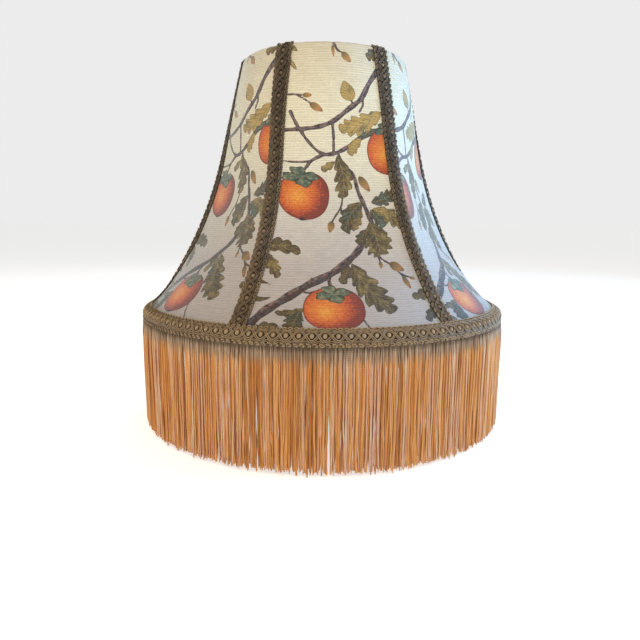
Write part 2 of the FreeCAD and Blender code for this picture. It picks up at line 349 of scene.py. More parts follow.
class Nodes:
    """Short calls for the nodes of a shader tree."""

    def __init__(self, tree):
        self.tree = tree

    def feed(self, socket, value):
        if isinstance(value, Value):
            self.tree.links.new(value.socket, socket)
        elif isinstance(value, tuple):
            socket.default_value = (*value, 1.0)
        else:
            socket.default_value = value

    def node(self, kind, *values, **settings):
        """A new node with its settings and the values of its first sockets. Returns its outputs."""
        node = self.tree.nodes.new("ShaderNode" + kind)
        for key, setting in settings.items():
            setattr(node, key, setting)
        for socket, value in zip(node.inputs, values):
            self.feed(socket, value)
        return [Value(self, socket) for socket in node.outputs]

    def math(self, operation, a, b=0.0):
        return self.node("Math", a, b, operation=operation)[0]

    def wave(self, place, length, shift=0.0):
        """A sine wave of a length along place."""
        return self.math("SINE", place * (2 * math.pi / length) + shift)

    def edge(self, value, low, high):
        """0 below low, 1 above high, smooth between."""
        return self.node("MapRange", value, low, high, interpolation_type="SMOOTHSTEP")[0]

    def scaled(self, value, low, high, to_low=0.0, to_high=1.0):
        return self.node("MapRange", value, low, high, to_low, to_high)[0]

    def split(self, vector):
        """The three numbers of a vector."""
        return self.node("SeparateXYZ", vector)

    def attribute(self, name):
        """An attribute of the mesh, as a vector and as one number."""
        return self.node("Attribute", attribute_name=name)[1:3]

    def parts(self, name):
        """The three numbers of a vector attribute."""
        return self.split(self.attribute(name)[0])

    def vector(self, x, y, z=0.0):
        return self.node("CombineXYZ", x, y, z)[0]

    def object_mm(self):
        """The place on the object, in millimetres."""
        place = self.node("TexCoord")[OBJECT_OUTPUT]
        return self.vector(*(part * (1 / MM) for part in self.split(place)))

    def noise(self, vector, scale, detail=2.0, roughness=0.5):
        return self.node("TexNoise", vector, 0.0, scale, detail, roughness)[0]

    def mix(self, factor, a, b, blend="MIX"):
        """Two colours mixed. The Mix node keeps its colour sockets after those for numbers."""
        node = self.tree.nodes.new("ShaderNodeMix")
        node.data_type = "RGBA"
        node.blend_type = blend
        for index, value in ((0, factor), (6, a), (7, b)):
            self.feed(node.inputs[index], value)
        return Value(self, node.outputs[2])

    def ramp(self, factor, *stops):
        """A colour ramp of (position, colour) stops."""
        node = self.tree.nodes.new("ShaderNodeValToRGB")
        self.feed(node.inputs[0], factor)
        elements = node.color_ramp.elements
        elements.remove(elements[1])
        for index, (position, colour) in enumerate(stops):
            element = elements[0] if index == 0 else elements.new(position)
            element.position = position
            element.color = (*colour, 1.0)
        return Value(self, node.outputs[0])

    def shaded(self, colour, factor):
        """A colour times a grey factor."""
        return self.mix(1.0, colour, self.vector(factor, factor, factor), "MULTIPLY")


class Surface(Nodes):
    """A material being built."""

    def __init__(self, name, **settings):
        self.material = bpy.data.materials.new(name)
        self.material.use_nodes = True
        super().__init__(self.material.node_tree)
        self.shader = self.tree.nodes["Principled BSDF"]
        for key, value in settings.items():
            self.shader.inputs[key.replace("_", " ")].default_value = value

    def finish(self, colour, height=None, depth=0.1):
        """Joins the colour and a bump whose height of 1 stands for depth millimetres."""
        self.feed(self.shader.inputs["Base Color"], colour)
        if height is not None:
            bump = self.tree.nodes.new("ShaderNodeBump")
            bump.inputs["Distance"].default_value = depth * MM
            bump.inputs["Strength"].default_value = 1.0
            self.feed(bump.inputs["Height"], height)
            self.feed(self.shader.inputs["Normal"], Value(self, bump.outputs[0]))
        return self.material


def weave(s, across, up, thread, slub):
    """A plain weave with slubby threads across: its height, how thick those threads are, and
    the wave of their rows."""
    wander = s.noise(s.vector(across * 0.02, up * 0.35), 1.0, 3.0)
    rows = s.wave(up, slub, wander * 5.0)
    warp = s.wave(across, thread)
    thick = s.noise(s.vector(across * 0.12, up * 1.1), 1.0)
    return rows * 0.35 + (warp * 0.2 + thick * 0.9), thick, rows


def bark_surface(s, up, number):
    """Brown bark with a lit upper side, cool patches and dark cracks, paler higher up."""
    inside, side, run = s.parts("branch")
    bark = s.noise(s.vector(run * 0.25, side * 1.6, number * 9.0), 1.0, 4.0)
    cool = s.noise(s.vector(run * 0.11, side * 0.8, 3.0), 1.0, 3.0)
    # paler higher up: partly the print's own paler twigs, partly painted glow of light through the
    # cloth
    colour = s.ramp(s.scaled(up, 20.0, 170.0), (0.0, (0.065, 0.036, 0.032)),
                    (0.45, (0.11, 0.078, 0.066)), (1.0, (0.21, 0.16, 0.15)))
    colour = s.mix(s.edge(side + bark * 1.5, 0.6, 1.3), colour, (0.26, 0.165, 0.14))
    colour = s.mix(s.edge(cool, 0.48, 0.60), colour, (0.078, 0.074, 0.090))
    colour = s.mix(s.edge(bark, 0.50, 0.60), colour, (0.04, 0.028, 0.030))
    return inside, s.mix(s.edge(inside, 0.8, 0.2) * 0.55, colour, (0.05, 0.035, 0.04))


def leaf_surface(s, up, cloth, fine, dab):
    """Leaves from gold over olive to blue-green, with pale veins, dark hollows and a dark edge.
    Buds are leaves of a tone below 0."""
    inside, along, off = s.parts("leaf")
    tone = s.attribute("leaf_tone")[1]
    blotch = s.noise(cloth, 0.13, 3.0)
    mood = tone + ((blotch - 0.5) * 1.5 + (dab - 0.5) * 0.8)
    leaf = s.ramp(s.scaled(mood, 0.0, 1.2),
                  (0.0, (0.47, 0.32, 0.10)), (0.22, (0.33, 0.25, 0.09)),
                  (0.40, (0.165, 0.135, 0.06)), (0.54, (0.135, 0.088, 0.042)),
                  (0.66, (0.075, 0.072, 0.040)), (0.80, (0.075, 0.105, 0.088)),
                  (1.0, (0.11, 0.17, 0.15)))
    slant = along * 6.5 + abs(off) * -1.9
    from_vein = abs(s.math("FRACT", slant) - 0.5)
    veins = s.math("MAXIMUM", s.edge(abs(off), 0.10, 0.03), s.edge(from_vein, 0.16, 0.04) * 0.7)
    leaf = s.mix(veins * s.edge(fine, 0.35, 0.6), leaf, s.mix(0.55, leaf, (0.48, 0.38, 0.18)))
    leaf = s.mix(s.edge(from_vein, 0.30, 0.5) * 0.6, leaf, s.mix(0.75, leaf, (0.03, 0.04, 0.03)))
    leaf = s.mix(s.edge(inside, 0.9, 0.2), leaf, s.mix(0.75, leaf, (0.05, 0.032, 0.018)))
    bud = s.ramp(along + (fine - 0.5) * 0.5,
                 (0.0, (0.13, 0.09, 0.04)), (0.35, (0.27, 0.18, 0.07)),
                 (0.7, (0.46, 0.25, 0.09)), (1.0, (0.16, 0.07, 0.04)))
    leaf = s.mix(s.edge(tone, -0.4, -0.6), leaf, bud)
    # painted shade low down and painted glow of light through the cloth higher up
    return inside, s.shaded(leaf, s.scaled(up, 30.0, 190.0, 0.72, 1.1))


def fruit_surface(s, fine, dab, fleck):
    """Fruit that is lightest a little left of its middle, with a dark rim and tip."""
    inside, x, y = s.parts("fruit")
    from_light = ((x + 0.28) ** 2.0 + (y + 0.10) ** 2.0) ** 0.5
    ripe = from_light + ((fine - 0.5) * 1.1 + (dab - 0.5) * 0.8) + y * -0.22
    fruit = s.ramp(ripe, (0.0, (0.86, 0.40, 0.07)), (0.32, (0.80, 0.26, 0.045)),
                   (0.62, (0.66, 0.145, 0.035)), (0.88, (0.42, 0.075, 0.035)),
                   (1.0, (0.22, 0.045, 0.035)))
    fruit = s.mix(s.edge(fleck, 0.50, 0.62) * 0.35, fruit, (0.30, 0.08, 0.025))
    fruit = s.mix(s.edge(inside, 1.4, 0.2), fruit, (0.17, 0.04, 0.03))
    tip = s.edge(y, -0.86, -0.97) * s.edge(abs(x), 0.16, 0.05)
    return inside, s.mix(tip, fruit, (0.05, 0.03, 0.03))


def calyx_surface(s, cloth):
    """Green calyx with dark seams between its four petals."""
    inside, x, y = s.parts("calyx")
    petal = s.ramp(s.noise(cloth, 0.22, 4.0, 0.6), (0.30, (0.045, 0.085, 0.075)),
                   (0.5, (0.13, 0.165, 0.11)), (0.70, (0.34, 0.34, 0.20)))
    turn = s.math("ARCTAN2", y, x) - 0.35
    seam = s.edge(abs(s.math("COSINE", turn * 2.0)), 0.55, 0.15)
    petal = s.mix(seam * 0.75, petal, (0.025, 0.035, 0.03))
    return inside, s.mix(s.edge(inside, 0.9, 0.2), petal, (0.03, 0.045, 0.035))


def cover_surface():
    """Cream linen with a print of fruiting branches, drawn from the print's attributes."""
    s = Surface("cover_linen", Roughness=0.7, Sheen_Weight=0.7, Sheen_Roughness=0.42,
                Sheen_Tint=(0.70, 0.86, 1.0, 1.0), Specular_IOR_Level=0.4)
    across, up, number = s.parts("cloth")
    cloth = s.vector(across, up, number * 90.0)
    height, thick, rows = weave(s, across, up, 0.95, 2.1)
    fine = s.noise(cloth, 0.9, 3.0, 0.65)
    soft = s.noise(cloth, 0.06, 3.0, 0.55)
    dab = s.noise(cloth, 0.42, 3.0, 0.6)
    fleck = s.noise(s.vector(across * 0.55, up * 1.5, number), 1.0, 2.0, 0.6)
    ragged = (fine - 0.5) * 0.95

    # The cream is painted paler and yellower up the shade, a glow of light shining through from
    # inside, and greyer towards the hem, painted shade.
    cloth_and_painted_glow = s.ramp(s.scaled(up + soft * 40.0, 0.0, 280.0),
                    (0.0, (0.45, 0.43, 0.44)), (0.30, (0.53, 0.50, 0.49)),
                    (0.46, (0.66, 0.63, 0.57)), (0.66, (0.82, 0.79, 0.62)),
                    (0.84, (0.82, 0.79, 0.61)), (1.0, (0.69, 0.65, 0.50)))
    cloth_and_painted_glow = s.shaded(cloth_and_painted_glow, s.scaled(thick, 0.25, 0.75, 0.86, 1.08))
    cloth_and_painted_glow = s.mix(s.edge(fleck, 0.58, 0.70) * 0.5, cloth_and_painted_glow, (0.30, 0.25, 0.18))
    inside, bark = bark_surface(s, up, number)
    colour = s.mix(s.edge(inside + ragged, -0.12, 0.22), cloth_and_painted_glow, bark)
    inside, leaf = leaf_surface(s, up, cloth, fine, dab)
    colour = s.mix(s.edge(inside + ragged, -0.12, 0.22), colour, leaf)
    inside, fruit = fruit_surface(s, fine, dab, fleck)
    colour = s.mix(s.edge(inside + ragged * 0.6, -0.1, 0.2), colour, fruit)
    inside, calyx = calyx_surface(s, cloth)
    colour = s.mix(s.edge(inside + ragged * 0.6, -0.1, 0.2), colour, calyx)

    checks = rows * s.wave(across, 1.3)
    grain = s.scaled(fine, 0.2, 0.8, 0.84, 1.12) + (rows + checks) * 0.085
    return s.finish(s.shaded(colour, grain), height, 0.2)


def lining_surface():
    """Plain ivory cotton with a fine weave and faint yellowing near the bulb."""
    s = Surface("lining_cotton", Roughness=0.9, Sheen_Weight=0.1, Specular_IOR_Level=0.2)
    across, up, number = s.parts("cloth")
    height, thick = weave(s, across, up, 0.7, 0.75)[:2]
    soft = s.noise(s.vector(across, up, number), 0.03, 3.0)
    colour = s.ramp(s.scaled(up + soft * 90.0, 60.0, 330.0),
                    (0.0, (0.74, 0.69, 0.58)), (1.0, (0.68, 0.59, 0.43)))
    return s.finish(s.shaded(colour, s.scaled(thick, 0.2, 0.8, 0.94, 1.05)), height, 0.05)


def yarn_surface(name, dark, light, twist, shine):
    """Twisted lustrous yarn: diagonal plies along each cord, darker on each cord's underside
    (painted shade, carried by the tone) and darker towards the top of the shade (painted shade)."""
    s = Surface(name, Roughness=shine, Sheen_Weight=0.2, Sheen_Roughness=0.3,
                Sheen_Tint=(1.0, 0.94, 0.86, 1.0), Specular_IOR_Level=0.7, Anisotropic=0.4)
    along, side, tone = s.parts("yarn")
    ply = s.wave(along, twist, side * 1.6)
    place = s.object_mm()
    mood = tone * 0.75 + (s.noise(place, 0.05, 3.0) * 0.5 + s.noise(place, 1.6) * 0.25)
    colour = s.ramp(mood - 0.2, (0.0, dark), (1.0, light))
    colour = s.shaded(colour, s.scaled(ply, -1.0, 1.0, 0.66, 1.14))
    # painted shade: the yarn darkens towards the top of the shade
    painted_top_shade = s.scaled(s.split(place)[2], BOTTOM_Z + 10.0, BOTTOM_Z + 180.0, 1.0, 0.6)
    return s.finish(s.shaded(colour, painted_top_shade), ply, 0.14)


def fringe_surface():
    """Rayon strands: taupe under the head, then copper to peach, with their own slow changes."""
    s = Surface("fringe_strands", Roughness=0.42, Sheen_Weight=0.12, Sheen_Roughness=0.3,
                Sheen_Tint=(1.0, 0.72, 0.48, 1.0), Specular_IOR_Level=0.38, Anisotropic=0.5)
    along, side, tone = s.parts("yarn")
    own = s.vector(along * 0.035, tone * 47.0)
    mood = tone * 0.72 + s.noise(own, 1.0, 3.0, 0.6) * 0.66
    colour = s.ramp(mood - 0.12,
                    (0.0, (0.26, 0.09, 0.028)), (0.20, (0.50, 0.19, 0.05)),
                    (0.40, (0.74, 0.32, 0.08)), (0.56, (0.84, 0.40, 0.11)),
                    (0.72, (0.88, 0.53, 0.25)), (0.86, (0.74, 0.42, 0.30)),
                    (1.0, (0.80, 0.68, 0.46)))
    start = along + (s.noise(own, 3.1, 1.0) - 0.5) * 16.0
    head = s.mix(s.math("FRACT", tone * 7.0), (0.30, 0.20, 0.125), (0.60, 0.45, 0.31))
    colour = s.mix(s.edge(start, 19.0, 7.0), colour, head)
    chain = s.math("MAXIMUM", s.wave(along, 1.5, side * 1.4), s.wave(along, 1.5, side * -1.4))
    colour = s.shaded(colour, s.scaled(chain, -1.0, 1.0, 0.74, 1.08))
    # painted shadow: each strand's first few millimetres under the braid are darkened
    colour = s.shaded(colour, s.scaled(along, 2.5, 7.0, 0.35, 1.0))
    return s.finish(colour, chain, 0.15)


def woven_surface(name, dark, light, thread):
    """Narrow woven tape, by place on the cloth."""
    s = Surface(name, Roughness=0.85, Sheen_Weight=0.15, Specular_IOR_Level=0.25)
    across, up = s.parts("cloth")[:2]
    height = (s.wave(across, thread) * s.wave(up, thread) + 1.0) * 0.5
    mottle = s.noise(s.object_mm(), 0.4, 4.0)
    return s.finish(s.mix(height * 0.5 + mottle * 0.5, dark, light), height, 0.08)


def metal_surface(name, base, worn, metallic, roughness):
    """Metal or enamel with fine scratches and duller patches."""
    s = Surface(name, Metallic=metallic, Specular_IOR_Level=0.5)
    place = s.object_mm()
    patch = s.noise(place, 0.12, 4.0)
    scratch = s.noise(place, 2.2, 3.0, 0.7)
    s.feed(s.shader.inputs["Roughness"], s.scaled(patch * 0.6 + scratch * 0.4, 0.3, 0.7,
                                                  roughness - 0.1, roughness + 0.15))
    return s.finish(s.mix(s.edge(patch, 0.5, 0.72), base, worn), scratch, 0.02)


# ---- the print: branches, leaves, buds and fruit on each panel ----
# Places are (across, up) in millimetres on the flat cloth, from the panel's middle and its hem.
BRANCHES = [  # width at the start, width at the end, points
    (5.6, 3.4, [(84, 282), (66, 268), (46, 250), (31, 231), (22, 215), (10, 205), (-3, 195),
                (-16, 190), (-30, 188), (-48, 187)]),
    (3.2, 2.4, [(-41, 203), (-37, 194), (-33, 187), (-27, 178), (-18, 169), (-9, 166)]),
    (2.8, 2.4, [(-4, 194), (-3, 181), (-3, 168)]),
    (5.0, 2.6, [(74, 214), (54, 197), (36, 187), (21, 180), (9, 172), (-2, 167), (-14, 165),
                (-24, 160), (-31, 152)]),
    (1.7, 2.0, [(-50, 160), (-36, 159), (-26, 160), (-17, 164)]),
    (2.6, 4.6, [(1, 167), (7, 156), (16, 148), (20, 134), (26, 120), (32, 105)]),
    (5.6, 7.6, [(24, 95), (21, 84), (11, 73), (-8, 59), (-30, 48), (-50, 35), (-68, 22),
                (-84, 4)]),
    (3.4, 2.6, [(-12, 56), (-12, 49), (-9, 42)]),
    (2.2, 1.6, [(-27, 50), (-27, 54)]),
    (2.4, 1.6, [(-20, 43), (-29, 41), (-34, 42)]),
    (1.7, 1.6, [(-46, 218), (-36, 218), (-29, 217)]),
    (1.7, 1.6, [(-36, 218), (-29, 214), (-23, 210)]),
    (2.6, 1.6, [(-2, 263), (1, 257), (6, 254)]),
    (2.4, 2.0, [(23, 216), (24, 210), (21, 204)]),
    (1.7, 1.6, [(15, 210), (11, 216), (9, 222)]),
    (2.0, 1.8, [(5, 129), (3, 119), (-3, 110), (-7, 104)]),
    (1.7, 1.6, [(3, 119), (4, 112), (7, 107)]),
    (2.0, 1.6, [(33, 78), (38, 71), (45, 66), (52, 58), (57, 52)]),
    (1.7, 1.6, [(34, 77), (36, 68)]),
    (1.7, 1.6, [(52, 58), (58, 55), (63, 53)]),
    (1.7, 1.6, [(12, 17), (16, 9), (21, 2)]),
    (1.7, 1.6, [(-70, 50), (-76, 44), (-83, 42)]),
    (1.7, 1.6, [(25, 184), (20, 177), (18, 172)]),
    (3.0, 2.2, [(122, 96), (106, 78), (96, 58), (84, 42)]),
    (2.6, 1.8, [(-62, 200), (-76, 186), (-84, 168), (-92, 152)]),
    (2.0, 1.6, [(-84, 94), (-76, 88), (-68, 84)]),
]
LEAVES = [  # base, tip, width, lobes, bow to one side, tone from 0 gold over olive to 1 blue-green
    ((14, 213), (6, 230), 13, 0, 0.05, 0.10),
    ((43, 205), (2, 188), 19, 5, 0.08, 0.12),
    ((40, 190), (22, 183), 7, 2, 0.05, 0.95),
    ((23, 181), (12, 166), 11, 3, -0.05, 0.10),
    ((0, 165), (5, 127), 19, 4, 0.10, 0.55),
    ((-2, 160), (-15, 152), 8, 2, 0.05, 0.45),
    ((24, 124), (6, 96), 20, 4, -0.10, 0.70),
    ((22, 119), (15, 98), 11, 3, 0.0, 0.42),
    ((32, 123), (53, 133), 14, 4, -0.08, 0.85),
    ((33, 118), (60, 101), 15, 4, 0.08, 0.38),
    ((31, 117), (44, 101), 11, 3, 0.0, 0.95),
    ((30, 106), (38, 75), 27, 4, 0.04, 0.52),
    ((29, 102), (47, 86), 13, 3, 0.0, 0.58),
    ((28, 99), (17, 85), 11, 3, 0.0, 0.66),
    ((9, 67), (40, 23), 24, 5, -0.06, 0.52),
    ((11, 64), (14, 42), 12, 3, 0.0, 0.98),
    ((7, 65), (-2, 49), 10, 2, 0.0, 0.44),
    ((-33, 27), (-58, 23), 8, 3, 0.10, 0.50),
    ((-37, 26), (-47, 4), 17, 4, 0.0, 0.82),
    ((-69, 82), (-36, 77), 13, 3, 0.10, 0.60),
    ((-68, 83), (-52, 89), 8, 2, 0.0, 0.66),
    ((-69, 78), (-55, 54), 12, 4, 0.05, 0.46),
    ((-84, 44), (-60, 47), 4, 0, 0.20, 0.48),
    ((-84, 42), (-60, 37), 5, 0, -0.20, 0.52),
    ((-80, 1), (-55, 10), 11, 3, 0.08, 0.50),
    ((86, 44), (59, 36), 11, 3, 0.05, 0.50),
    ((84, 30), (69, 12), 12, 3, 0.0, 0.90),
    ((-46, 263), (-33, 256), 6, 0, 0.05, 0.46),
    ((-42, 250), (-34, 239), 4, 0, 0.0, 0.16),
    ((45, 262), (28, 252), 12, 3, 0.0, 0.60),
    ((96, 60), (118, 44), 14, 4, 0.06, 0.55),
    ((104, 76), (84, 92), 12, 4, 0.0, 0.80),
    ((92, 52), (104, 26), 13, 4, -0.05, 0.42),
    ((-84, 168), (-62, 156), 14, 4, 0.05, 0.50),
    ((-80, 178), (-70, 160), 11, 3, 0.0, 0.90),
    ((-90, 154), (-74, 134), 13, 4, 0.06, 0.44),
    ((66, 206), (80, 186), 13, 4, 0.0, 0.30),
]
BUDS = [  # base, tip, width
    ((-30, 217), (-21, 217), 4.5),
    ((-24, 210), (-12, 203), 6.5),
    ((5, 255), (13, 246), 6.5),
    ((-3, 261), (-2, 250), 3.0),
    ((21, 147), (32, 133), 7.5),
    ((-6, 106), (-9, 95), 7.0),
    ((44, 67), (57, 60), 8.5),
    ((54, 55), (60, 43), 5.0),
    ((60, 54), (66, 52), 3.0),
    ((36, 69), (36, 62), 4.0),
]
FRUITS = [  # middle, half width, half height, tilt
    ((-31, 129), 23, 22, -8),
    ((53, 171), 24, 22, 12),
    ((-10, 26), 25, 20, 0),
    ((-98, 128), 23, 21, 6),
    ((108, 8), 24, 20, 0),
]
CALYXES = [  # middle, half width, half height, tilt
    ((-34, 146), 17, 9, -10),
    ((47, 190), 12, 7, 10),
    ((-10, 40), 15, 8, 0),
    ((-97, 144), 15, 8, 6),
    ((108, 24), 14, 8, 0),
]

# Each panel is cut from the print a little differently: right, up, and turned in radians.
PRINT_SHIFTS = [(0, 0, 0), (-20, 2, 0), (9, -6, -0.03), (-7, 5, 0.02), (12, 3, 0), (0, 5, 0.07)]
OUTSIDE = -9.0                  # what a field holds before any shape reaches it


def smooth_path(points, steps=8):
    """A rounded line through points, by Catmull-Rom."""
    points = np.array(points, float)
    padded = np.concatenate([[2 * points[0] - points[1]], points, [2 * points[-1] - points[-2]]])
    t = np.linspace(0, 1, steps, endpoint=False)[:, None]
    line = []
    for a, b, c, d in zip(padded, padded[1:], padded[2:], padded[3:]):
        line.append(0.5 * (2 * b + (c - a) * t + (2 * a - 5 * b + 4 * c - d) * t ** 2
                           + (3 * b - a - 3 * c + d) * t ** 3))
    return np.concatenate(line + [points[-1:]])


def keep_nearer(best, new):
    """Of two sets of (inside, ...) fields, the one that is further inside at each point."""
    return np.where(new[0] > best[0], new, best)


def branch_fields(across, up):
    """How far inside a branch each place is, its side (1 at the upper edge) and the run along."""
    best = np.full((3, across.size), OUTSIDE)
    for number, (start_width, end_width, points) in enumerate(BRANCHES):
        line = smooth_path(points)
        share = np.linspace(0, 1, len(line))
        width = start_width + (end_width - start_width) * share
        width = width * (1 + 0.13 * np.sin(share * len(points) * 5.1 + number))
        travelled = number * 40.0
        for a, b, w in zip(line, line[1:], width):
            step = b - a
            length = np.hypot(*step)
            along = np.clip(((across - a[0]) * step[0] + (up - a[1]) * step[1]) / length ** 2, 0, 1)
            off_x = across - a[0] - along * step[0]
            off_y = up - a[1] - along * step[1]
            gap = np.hypot(off_x, off_y)
            side = np.sign(step[0] * off_y - step[1] * off_x) * np.sign(step[0]) * gap / (w / 2)
            best = keep_nearer(best, np.stack([w / 2 - gap, side, travelled + along * length]))
            travelled += length
    return best


def leaf_fields(across, up):
    """How far inside a leaf or bud each place is, how far along, how far off the middle vein as
    a share of the half width, and the tone."""
    best = np.full((4, across.size), OUTSIDE)
    buds = [(base, tip, width, -1, 0.0, -1.0) for base, tip, width in BUDS]
    for base, tip, width, lobes, bow, tone in LEAVES + buds:
        heading = np.subtract(tip, base).astype(float)
        length = np.hypot(*heading)
        heading /= length
        x = ((across - base[0]) * heading[0] + (up - base[1]) * heading[1]) / length
        y = (up - base[1]) * heading[0] - (across - base[0]) * heading[1]
        y = y - bow * length * np.sin(np.clip(x, 0, 1) * math.pi)
        slid = x - 0.75 * np.abs(y) / length if lobes > 0 else x
        part = np.clip(slid, 0, 1)
        half = width / 2 * np.sin(math.pi * part ** 0.8) ** (0.62 if lobes > 0 else 0.8)
        if lobes > 0:
            notch = np.abs(np.sin(math.pi * lobes * part)) ** 0.8
            teeth = np.abs(np.sin(math.pi * lobes * 2.5 * part))
            half = half * (0.50 + 0.48 * notch + 0.07 * teeth)
        ends = np.abs(slid - part) * length
        inside = np.where(ends > 0, -ends - np.abs(y), half - np.abs(y))
        field = np.stack([inside, x, y / np.maximum(half, 0.5), np.full(x.size, tone)])
        best = keep_nearer(best, field)
    return best


def within(across, up, middle, half_width, half_height, tilt):
    """Places as shares of a tilted shape's half width and half height, from its middle."""
    x, y = across - middle[0], up - middle[1]
    return ((x * cos(tilt) + y * sin(tilt)) / half_width,
            (y * cos(tilt) - x * sin(tilt)) / half_height)


def fruit_fields(across, up):
    """How far inside a fruit each place is, in millimetres, and its place on the fruit."""
    best = np.full((3, across.size), OUTSIDE)
    for middle, half_width, half_height, tilt in FRUITS:
        x, y = within(across, up, middle, half_width, half_height, tilt)
        narrowing = 1 - 0.07 * np.clip(-y, 0, 1) ** 2
        reach = (np.abs(x / narrowing) ** 2.3 + np.abs(y) ** 2.3) ** (1 / 2.3)
        reach = reach + np.where(y > 0, 0.09, -0.05) * np.exp(-(x / 0.15) ** 2)
        best = keep_nearer(best, np.stack([(1 - reach) * half_height, x, y]))
    return best


def calyx_fields(across, up):
    """How far inside a calyx each place is, in millimetres, and its place on the calyx."""
    best = np.full((3, across.size), OUTSIDE)
    for middle, half_width, half_height, tilt in CALYXES:
        x, y = within(across, up, middle, half_width, half_height, tilt)
        angle = np.arctan2(y, x)
        petals = np.abs(np.cos(2 * (angle - 0.35)))
        outline = 0.52 + 0.48 * petals ** 0.6 + 0.07 * np.sin(9 * angle)
        best = keep_nearer(best, np.stack([(outline - np.hypot(x, y)) * half_height, x, y]))
    return best


# ---- cloth ----
def grid(rows, columns):
    return np.meshgrid(rows, columns, indexing="ij")


def cloth_place(across, up, number=0):
    """The place on a piece of cloth, and the number of the piece, at each point."""
    return {"cloth": np.stack([across.ravel(), up.ravel(), np.full(across.size, number)], axis=-1)}


def cover_panels(surface):
    """Printed panels from under the bottom ring, up the ribs and over the top ring."""
    under, over = 10, 8
    stations = (wrapped(BOTTOM, -90, HEM_ANGLE, under)[:-1] + RIB
                + wrapped(TOP, NECK_ANGLE, 100, over)[1:])
    line = Line(stations, COVER_OUT, zero_at=under)
    # The print is placed by length along the rib's middle, and goes on evenly round both rings.
    past_top = RIB_RUN + line.run[-over:] - line.run[-over - 1]
    middle_run = np.concatenate([line.run[:under], Line(RIB).run, past_top])
    run, off_centre = grid(np.concatenate([np.linspace(line.run[0], 0, 7)[:-1],
                                           np.linspace(0, line.run[-1], 205)]),
                           np.linspace(-HALF_AZ, HALF_AZ, 141))
    across = (np.radians(off_centre) * line.radius_at(run, COVER_OUT)).ravel()
    up = np.interp(run, line.run, middle_run).ravel()
    panels = []
    for number, (azimuth, shift) in enumerate(zip(PANEL_AZIMUTHS, PRINT_SHIFTS), 1):
        shift_x, shift_y, turn = shift
        print_x = across - shift_x + turn * (up - 130)
        print_y = up - shift_y - turn * across
        swell = 0.35 * np.sin(run / RIB_RUN * math.pi) * cos(off_centre * 90 / HALF_AZ)
        sag = swell * rng.uniform(-1, 1)
        outer = line.lay(run, COVER_OUT + sag, azimuth + off_centre)
        inner = line.lay(run, CLOTH_R + sag, azimuth + off_centre)
        leaf = leaf_fields(print_x, print_y)
        fields = {
            "branch": branch_fields(print_x, print_y).T,
            "leaf": leaf[:3].T,
            "leaf_tone": leaf[3][:, None],
            "fruit": fruit_fields(print_x, print_y).T,
            "calyx": calyx_fields(print_x, print_y).T,
            **cloth_place(across, up, number),
        }
        panels.append(sheet_piece(f"printed_panel_{number}", outer, inner, surface,
                                  [f"cover_panel_{number}"], fields))
    return panels


def lining_panels(surface):
    """Plain lining stretched inside the ribs, drawn up in faint puckers at the seams."""
    line = Line(INSIDE_RING + facing_in(RIB) + wrapped(TOP, NECK_ANGLE + 180, 90, 10)[1:],
                LINING_IN, zero_at=len(INSIDE_RING))
    run, off_centre = grid(np.linspace(line.run[0], line.run[-1], 110),
                           np.linspace(-HALF_AZ, HALF_AZ, 61))
    across = np.radians(off_centre) * line.radius_at(run, LINING_IN)
    near_seam = smooth_step((np.abs(off_centre) - HALF_AZ + 5) / 5)
    panels = []
    for number, azimuth in enumerate(PANEL_AZIMUTHS, 1):
        pucker = 0.25 * near_seam * (np.sin(run * 0.55 + number) + 1)
        outer = line.lay(run, LINING_IN + pucker, azimuth + off_centre)
        inner = line.lay(run, CLOTH_R + pucker, azimuth + off_centre)
        panels.append(sheet_piece(f"lining_{number}", outer, inner, surface,
                                  [f"lining_panel_{number}"], cloth_place(across, run, number),
                                  flip=True))
    return panels


def round_tape(name, stations, near, far, surface, node, ripple, flip):
    """A narrow band round the shade, with turned edges and slight ripples."""
    line = Line(stations, far)
    run, azimuth = grid(np.linspace(0, line.run[-1], 13), np.arange(720) * 0.5)
    turned = 0.3 * np.cos(run / line.run[-1] * 2 * math.pi) ** 4
    wavy = np.sin(np.radians(azimuth * 37)) * 0.5 + np.sin(np.radians(azimuth * 53) + run)
    outer = line.lay(run, far + ripple * (turned + wavy), azimuth)
    inner = line.lay(run, near, azimuth)
    across = np.radians(azimuth) * line.radius_at(run, far)
    return sheet_piece(name, outer, inner, surface, [node], cloth_place(across, run),
                       loop=True, flip=flip)


TAPE_TURN = 7.0                 # length of wire that one turn of binding covers
TAPE_LOW = BOUND_R - 0.12       # from the wire's middle to the tape where the next turn starts
TAPE_LAP = 0.14                 # how much higher the tape's other edge lies


def wound_tape(name, centres, outward, surface, node, closed):
    """Cotton tape wound round a wire: a tube with an overlapping edge at every turn."""
    steps, sides = len(centres), 16
    count = steps * sides
    aside, up = upright_frames(centres, outward, closed)
    length, turn = grid(length_along(centres), np.arange(sides) / sides)
    lap = (length / TAPE_TURN + turn) % 1
    spoke = (cos(turn * 360)[..., None] * up[:, None]
             + sin(turn * 360)[..., None] * aside[:, None])
    outer = centres[:, None] + (TAPE_LOW + TAPE_LAP * lap)[..., None] * spoke
    inner = centres[:, None] + WIRE_R * spoke
    skin = tube_faces(steps, sides, closed)
    faces = [skin, skin[:, ::-1] + count]
    if not closed:
        first = np.append(np.arange(sides), 0)
        faces += [edge_faces(first, count)[:, ::-1],
                  edge_faces(first + (steps - 1) * sides, count)]
    points = np.concatenate([outer.reshape(-1, 3), inner.reshape(-1, 3)])
    cloth = cloth_place(lap * TAPE_TURN, length)["cloth"]
    return make(name, points, faces, surface, [node],
                {"cloth": np.concatenate([cloth, cloth])})


